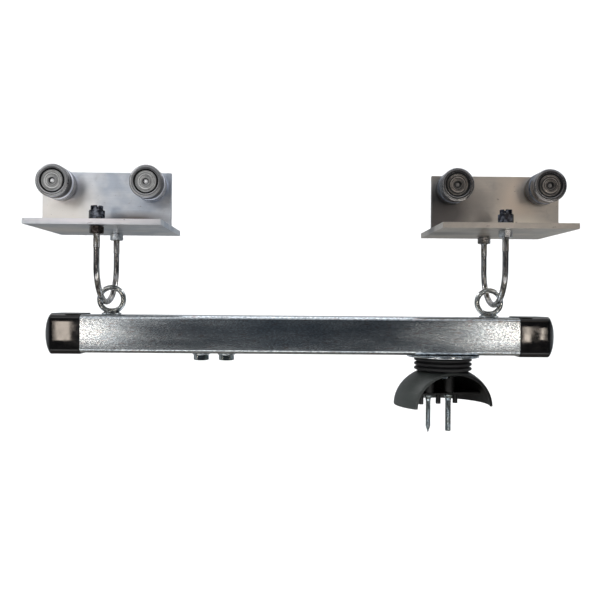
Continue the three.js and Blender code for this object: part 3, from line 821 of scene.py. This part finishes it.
def add_trolley(side):
    body = f"{side}_trolley"
    add_t_bar(side)
    add_u_bolt(side)
    for leg in (f"{side}_front", f"{side}_rear"):
        add_plain_ring(f"{leg}_washer", body, "black_nut", LEG_BORE, upwards, 0.25)
        add_castle_nut(f"{leg}_upper_nut", body)
        add_hex_nut(f"{leg}_lower_nut", body, LEG_BORE, upwards, LOWER_NUT_LOOKS[leg])


# -------- beam
def add_tube():
    node = "square_tube"
    low, high = box_mm(node)
    half = (high.z - low.z) / 2
    corner, wall, lip = 4.5, 3.0, 0.4
    loops = [
        (lip, low.x), (0, low.x + lip), (0, high.x - lip), (lip, high.x),
        (wall - lip, high.x), (wall, high.x - lip), (wall, low.x + lip), (wall - lip, low.x),
    ]
    mesh = bmesh.new()
    skin(mesh, [rounded_square(half - inset, corner - inset, x) for inset, x in loops], closed=True)
    place = Matrix.Translation((0, 0, middle_of(node).z))
    finished(mesh, node, "drawn", place, "beam", "galvanised_tube")


CAP = {"skin": 1.3, "shoulder": 34.0, "pocket": 33.0, "edge": 6.0, "dome": 11.5, "steps": 14}


def cap_rows(half):
    """The cap's loops from the bottom of its pocket, out round its lip, along it and over its domed end."""
    inner = half - CAP["skin"]
    dome = CAP["dome"]
    radius = (half * half + dome * dome) / (2 * dome)
    base = math.sqrt(radius * radius - half * half)
    rows = [rounded_square(inner, CAP["edge"] - 1.5, x) for x in (CAP["pocket"], 0.5)]
    rows.append(rounded_square(inner + 0.4, CAP["edge"] - 1.1, 0.0))
    rows.append(rounded_square(half - 0.5, CAP["edge"] - 0.5, 0.0))
    rows.append(rounded_square(half, CAP["edge"], 0.5))
    line = [(0.5, half), (2.0, half), (CAP["shoulder"] - 5, half), (CAP["shoulder"], half)]
    for step in range(1, CAP["steps"] + 1):
        height = half - (half - 0.4) * step / CAP["steps"]
        line.append((CAP["shoulder"] + math.sqrt(radius * radius - height * height) - base, height))
    for x, height in softened(line, 2.2, 4)[1:]:
        corner = min(height * 0.97, CAP["edge"] + (half - height) * 0.42)  # rounder towards the tip
        rows.append(rounded_square(height, corner, x))
    return rows


def add_cap(side):
    node = f"{side}_end_cap"
    low, high = box_mm(node)
    half = (high.z - low.z) / 2
    rows = cap_rows(half)
    tip = sum(rows[-1], Vector()) / len(rows[-1])
    mesh = bmesh.new()
    skin(mesh, [[Vector((CAP["pocket"], 0, 0))], *rows, [tip]])
    mouth, turn = (low.x, 0) if side == "right" else (high.x, math.pi)
    middle = middle_of(node)
    place = Matrix.Translation((mouth, middle.y, middle.z)) @ Matrix.Rotation(turn, 4, "Z")
    finished(mesh, node, "moulded", place, "beam", "gloss_plastic")


EYE = {"ring": 14.3, "rod": 3.0, "rise": 18.0, "swell": 0.22, "collar": 11.5, "shank": 5.0, "gap": 0.3}


def add_eye_bolt(side):
    """A forged eye: a ring that swells a little where it joins a flared collar, and a shank into the tube."""
    node = f"{side}_eye_bolt"
    low, high = box_mm(node)
    tube_top = box_mm("square_tube")[1].z
    mesh = bmesh.new()
    rows = []
    for step in range(ROUND_SIDES):
        angle = 2 * math.pi * step / ROUND_SIDES
        way = Vector((math.sin(angle), 0, -math.cos(angle)))
        swell = 1 + EYE["swell"] * max(0.0, math.cos(angle)) ** 8
        middle = way * EYE["ring"] + Vector((0, 0, EYE["rise"]))
        row = []
        for corner in range(ROD_SIDES):
            turn = 2 * math.pi * corner / ROD_SIDES
            reach = EYE["rod"] * (1 if math.cos(turn) > 0 else swell)
            outwards = reach * math.cos(turn) * way
            sideways = EYE["rod"] * swell * math.sin(turn) * Vector((0, 1, 0))
            row.append(middle + outwards + sideways)
        rows.append(row)
    skin(mesh, rows, closed=True)
    collar, shank, gap = EYE["collar"], EYE["shank"], EYE["gap"]
    depth = low.z - tube_top
    line = softened([
        (0, depth), (shank - 0.8, depth), (shank, depth + 0.8), (shank, gap), (collar - 0.6, gap),
        (collar, gap + 0.6), (collar, 1.4), (9.4, 2.6), (7.4, 4.4), (5.6, 5.2), (0, 5.4),
    ], 0.4)
    turned(mesh, line, FINE_SIDES)
    place = Matrix.Translation(((low.x + high.x) / 2, (low.y + high.y) / 2, tube_top))
    finished(mesh, node, "forged", place, "beam", "eye")


M10 = {"flats": 16, "radius": 5, "lead": 1.0}


def add_bolt(node, head, nut=None):
    """An M10 bolt of the beam, head down, head millimetres thick. nut gives a nut's levels, made with it."""
    top = size_of(node).z
    flats, radius, lead = M10["flats"], M10["radius"], M10["lead"]
    mesh = bmesh.new()
    hex_head(mesh, flats, 0, head)
    turned(mesh, [
        (0, head - 0.5), (radius, head - 0.5), (radius, top - lead), (radius - lead, top), (0, top),
    ], ROD_SIDES)
    if nut:
        hex_nut(mesh, flats, radius - 0.3, *nut)
    finished(mesh, node, "hex", upwards(node), "beam", "bolt")


def add_beam():
    add_tube()
    for side in SIDES:
        add_cap(side)
        add_eye_bolt(side)
        add_hex_nut(f"{side}_eye_nut", "beam", M10_BORE, upwards)
        add_bolt(f"{side}_load_bolt", 6.4)
        add_plain_ring(f"{side}_load_bolt_washer", "beam", "zinc", M10_BORE, upwards)
        add_hex_nut(f"{side}_load_bolt_nut", "beam", M10_BORE, upwards)


# -------- domed holder
def add_collar():
    """Three flat ribs with deep soft grooves between them."""
    node = "ribbed_collar"
    size = size_of(node)
    rib, height = size.x / 2, size.z
    groove = rib - 3.5
    ribs = 3
    pitch = height / ribs
    profile = [(M10_BORE, height / 2), (M10_BORE, 0)]
    for step in range(ribs):
        bottom = step * pitch
        profile += [(groove, bottom), (rib - 0.5, bottom + 0.25 * pitch), (rib, bottom + 0.4 * pitch),
                    (rib, bottom + 0.6 * pitch), (rib - 0.5, bottom + 0.75 * pitch)]
    profile += [(groove, height), (M10_BORE, height), (M10_BORE, height / 2)]
    mesh = bmesh.new()
    turned_ring(mesh, profile, soft=0.5)
    finished(mesh, node, "moulded", upwards(node), "beam", "collar")


DOME = {"radius": 58.0, "height": 47.0, "wall": 3.0, "top": 41.0, "slice": 29.0, "turn": math.radians(16)}
SHELF = {"bottom": 11.0, "thick": 2.5, "front": 3.0, "edge": 0.4, "middle": 20.0}
BOSS = {"radius": 7.25, "half": 13.5, "behind": 10.5}
PEG = {"radius": 3.0, "places": (-23.0, 0.0, 23.0), "below": 0.5}


def ellipse_line(radius, height, low, high, steps):
    """Points up the side of a bowl from the level low to the level high."""
    first, last = math.asin(low / height), math.asin(high / height)
    line = []
    for step in range(steps + 1):
        angle = first + (last - first) * step / steps
        line.append((radius * math.cos(angle), height * math.sin(angle)))
    return line


def dome_place():
    middle = (middle_of("backing_disc").x, 0, box_mm("dome_shell")[0].z)
    return Matrix.Translation(middle) @ Matrix.Rotation(DOME["turn"], 4, "Z")


def cut_front(mesh):
    """Slices the shell's front away and closes the cut, with the cut's edges taken off."""
    geometry = mesh.verts[:] + mesh.edges[:] + mesh.faces[:]
    made = bmesh.ops.bisect_plane(mesh, geom=geometry, dist=1e-4, plane_co=(0, -DOME["slice"], 0),
                                  plane_no=(0, -1, 0), clear_outer=True)
    edges = [item for item in made["geom_cut"] if isinstance(item, bmesh.types.BMEdge)]
    bmesh.ops.triangle_fill(mesh, use_beauty=True, use_dissolve=True, edges=edges)
    bmesh.ops.bevel(mesh, geom=edges, offset=0.5, segments=2, profile=0.5, affect="EDGES")


def add_dome():
    """The shell, its shelf, the two screw bosses and the pegs under them."""
    radius, height, wall, top = DOME["radius"], DOME["height"], DOME["wall"], DOME["top"]
    outside = ellipse_line(radius, height, 0, top, 22)
    inside = ellipse_line(radius - wall, height - wall, top - wall, 0, 20)
    rim = (radius - wall / 2, 0)
    profile = [rim, *outside, (M10_BORE, top), (M10_BORE, top - wall), *inside, rim]
    mesh = bmesh.new()
    turned_ring(mesh, profile, soft=0.6, sides=120)
    bmesh.ops.remove_doubles(mesh, verts=mesh.verts, dist=1e-4)
    cut_front(mesh)
    add_shelf(mesh)
    for side in (-1, 1):
        pillar(mesh, side * BOSS["half"], BOSS["radius"], SHELF["bottom"] - 0.6, top - 1.5)
    for x in PEG["places"]:
        pillar(mesh, x, PEG["radius"], -PEG["below"], SHELF["bottom"] + 0.5)
    place = dome_place()
    finished(mesh, "dome_shell", "moulded", place, "holder", "dome", also=["dome_shelf"])


def pillar(mesh, x, radius, bottom, top):
    """A round post with a softened foot, standing behind the dome's middle."""
    line = softened([(0, bottom), (radius, bottom), (radius, top), (0, top)], 0.6, 3)
    rows = [ring_row(max(reach, 0), level, FINE_SIDES) for reach, level in line]
    moved = Vector((x, BOSS["behind"], 0))
    skin(mesh, [[point + moved for point in row] for row in rows])


def add_shelf(mesh):
    """A flat shelf across the back half of the hollow, sunk a little into the wall."""
    steps = 48
    reach = DOME["radius"] - DOME["wall"] / 2
    front, edge, middle = SHELF["front"], SHELF["edge"], SHELF["middle"]
    bottom, top = SHELF["bottom"], SHELF["bottom"] + SHELF["thick"]
    rows = [[Vector((0, middle, bottom))]]
    for level, inset in ((bottom, edge), (bottom + edge, 0.0), (top - edge, 0.0), (top, edge)):
        wide = reach * math.sqrt(1 - (level / DOME["height"]) ** 2)
        start = math.asin((front + inset) / wide)
        row = []
        for step in range(steps + 1):
            angle = start + (math.pi - 2 * start) * step / steps
            row.append(polar(wide, angle, level))
        rows.append(row)
    rows.append([Vector((0, middle, top))])
    skin(mesh, rows)


SCREWS = {
    # end: the share of the radius that is left at the foot, which grows to the whole of it over the tip
    "pointed_screw": {"side": -1, "radius": 3.1, "tip": 7.0, "end": 0.22},
    "blunt_screw": {"side": 1, "radius": 3.7, "tip": 1.0, "end": 0.84},
}
SCREW_FOOT = -34.0  # its lowest point, from the dome's rim


def add_screw(node):
    """A zinc screw whose thread runs down to its tip, with a flared collar under the shelf."""
    screw = SCREWS[node]
    radius, flare = screw["radius"], 5.4
    foot, top = SCREW_FOOT, SCREW_FOOT + size_of(node).z

    def taper(height):
        share = min(1.0, (height - foot) / screw["tip"])
        return screw["end"] + (1.0 - screw["end"]) * share

    rows = [[Vector((0, 0, foot))]]
    rows += thread_rows(radius, 0.62, 1.9, foot, 4.6, taper)
    neck = [
        (radius, 4.7), (radius, 5.7), (flare, 9.6), (flare, 10.4), (radius, 10.7), (radius, top), (0, top),
    ]
    rows += [ring_row(reach, level, ROD_SIDES) for reach, level in softened(neck, 0.3)[1:]]
    mesh = bmesh.new()
    skin(mesh, rows)
    place = dome_place() @ Matrix.Translation((screw["side"] * BOSS["half"], BOSS["behind"], 0))
    finished(mesh, node, "threaded", place, "holder", "screw")


def add_holder():
    add_plain_ring("backing_disc", "beam", "zinc", M10_BORE, upwards, 0.4)
    add_collar()
    add_dome()
    for node in SCREWS:
        add_screw(node)
    nut_top = size_of("pivot_bolt").z - 3.0
    add_bolt("pivot_bolt", 6.0, nut=(nut_top - 8.0, nut_top))


# -------- stage and light
# in metres, like the lights and the camera
FLOOR_Z = -0.52
STAGE = {"half": 4.0, "front": -3.5, "back": 1.6, "height": 3.2, "bend": 1.0, "steps": 16}


def add_stage():
    """A pale floor that curves up into a pale wall behind the object."""
    mesh = bmesh.new()
    line = [(STAGE["front"], FLOOR_Z)]
    for step in range(STAGE["steps"] + 1):
        angle = math.radians(90) * step / STAGE["steps"]
        y = STAGE["back"] - STAGE["bend"] * (1 - math.sin(angle))
        z = FLOOR_Z + STAGE["bend"] * (1 - math.cos(angle))
        line.append((y, z))
    line.append((STAGE["back"], FLOOR_Z + STAGE["height"]))
    rows = [[mesh.verts.new((x, y, z)) for y, z in line] for x in (-STAGE["half"], STAGE["half"])]
    for i in range(len(line) - 1):
        mesh.faces.new((rows[0][i], rows[1][i], rows[1][i + 1], rows[0][i + 1])).smooth = True
    data = bpy.data.meshes.new("stage")
    mesh.to_mesh(data)
    mesh.free()
    data.materials.append(pale_floor())
    stage = bpy.data.objects.new("stage", data)
    stage.visible_glossy = False  # metal mirrors the room below, not this white sweep
    bpy.context.scene.collection.objects.link(stage)


# The lights in front are also the windows and walls that the caps, the tube and the webs mirror. The last
# two light the stage behind the object.
LIGHTS = {
    # name: place, what it faces, width, height, brightness, colour
    "left_window": ((-0.816, -1.6, -0.19), (-0.27, 0, -0.15), 0.050, 0.32, 12.5, (1.0, 0.88, 0.76)),
    "left_pane": ((-0.70, -1.6, -0.2), (-0.24, 0, -0.15), 0.10, 0.5, 1.9, (1.0, 0.98, 0.95)),
    "left_wall": ((-0.9, -1.6, 0.42), (-0.23, 0, 0), 0.9, 0.55, 1.12, (0.98, 0.99, 1.0)),
    "right_window": ((0.72, -1.6, -0.2), (0.23, 0, -0.15), 0.12, 0.5, 2.4, (1.0, 0.95, 0.88)),
    "right_wall": ((0.74, -1.6, 0.34), (0.23, 0, 0), 0.35, 0.5, 0.42, (1.0, 0.83, 0.69)),
    "right_strip": ((0.822, -1.6, -0.19), (0.26, 0, -0.15), 0.020, 0.26, 17.0, (1.0, 0.88, 0.76)),
    "right_gap": ((0.876, -1.6, -0.18), (0.28, 0, -0.15), 0.010, 0.20, 20.0, (1.0, 0.88, 0.76)),
    "floor_card": ((0.0, -0.6, -0.5), (0, 0, -0.17), 1.8, 0.22, 1.4, (1.0, 1.0, 1.0)),
    "top": ((0.0, -0.1, 1.25), (0, 0, 0), 1.6, 1.0, 1.0, (0.97, 0.98, 1.0)),
    "wall_left": ((-1.6, 0.4, 1.6), (0.2, 1.6, 0.0), 1.2, 1.2, 5.3, (1.0, 1.0, 1.0)),
    "wall_right": ((1.6, 0.4, 1.6), (-0.2, 1.6, 0.0), 1.2, 1.2, 5.3, (1.0, 1.0, 1.0)),
}


def add_lights():
    for name, (place, target, width, height, brightness, colour) in LIGHTS.items():
        data = bpy.data.lights.new(name, "AREA")
        data.shape = "RECTANGLE"
        data.size = width
        data.size_y = height
        data.energy = brightness * math.pi * width * height
        data.color = colour
        light = bpy.data.objects.new(name, data)
        bpy.context.scene.collection.objects.link(light)
        light.location = place
        light.rotation_euler = (Vector(target) - Vector(place)).to_track_quat("-Z", "Y").to_euler()


# what metal mirrors in each direction
ROOM = {
    "behind": (0.26, 0.275, 0.29),
    "front": (0.030, 0.036, 0.043),
    "ceiling": (0.85, 0.86, 0.88),
    "ground": (0.22, 0.21, 0.19),
}
CLUTTER = 1.8  # how much brighter the walls are where things stand against them


def add_world():
    """A workshop round the object: dark behind the camera, paler behind the object, with a bright ceiling."""
    world = bpy.data.worlds.new("room")
    world.use_nodes = True
    bpy.context.scene.world = world
    room = Graph(world.node_tree)
    way = room.node("TexCoord", output="Generated")
    forward = room.node("SeparateXYZ", {0: way}, output="Y")
    up = room.node("SeparateXYZ", {0: way}, output="Z")
    ahead = room.between(forward, -0.6, 0.5)
    walls = room.mixed(ahead, ROOM["front"], ROOM["behind"])
    upright = room.node("Mapping", {"Vector": way, "Scale": (5.0, 5.0, 0.7)})
    things = room.node("TexNoise", {"Vector": upright, "Scale": 1.0, "Detail": 2.0})
    bright = room.mixed(ahead, scaled(ROOM["front"], CLUTTER), scaled(ROOM["behind"], CLUTTER))
    cluttered = room.mixed(room.between(things, 0.42, 0.6), walls, bright)
    roofed = room.mixed(room.between(up, 0.25, 0.7), cluttered, ROOM["ceiling"])
    whole = room.mixed(room.between(up, -0.12, -0.5), roofed, ROOM["ground"])
    background = room.nodes["Background"]
    room.put(whole, background.inputs["Color"])
    background.inputs["Strength"].default_value = 1.0


# -------- the scene
add_camera()
add_stage()
add_lights()
add_world()
bpy.context.scene.view_settings.view_transform = "Standard"

for side in SIDES:
    add_trolley(side)
for station in STATIONS:
    add_station(station)
add_beam()
add_holder()
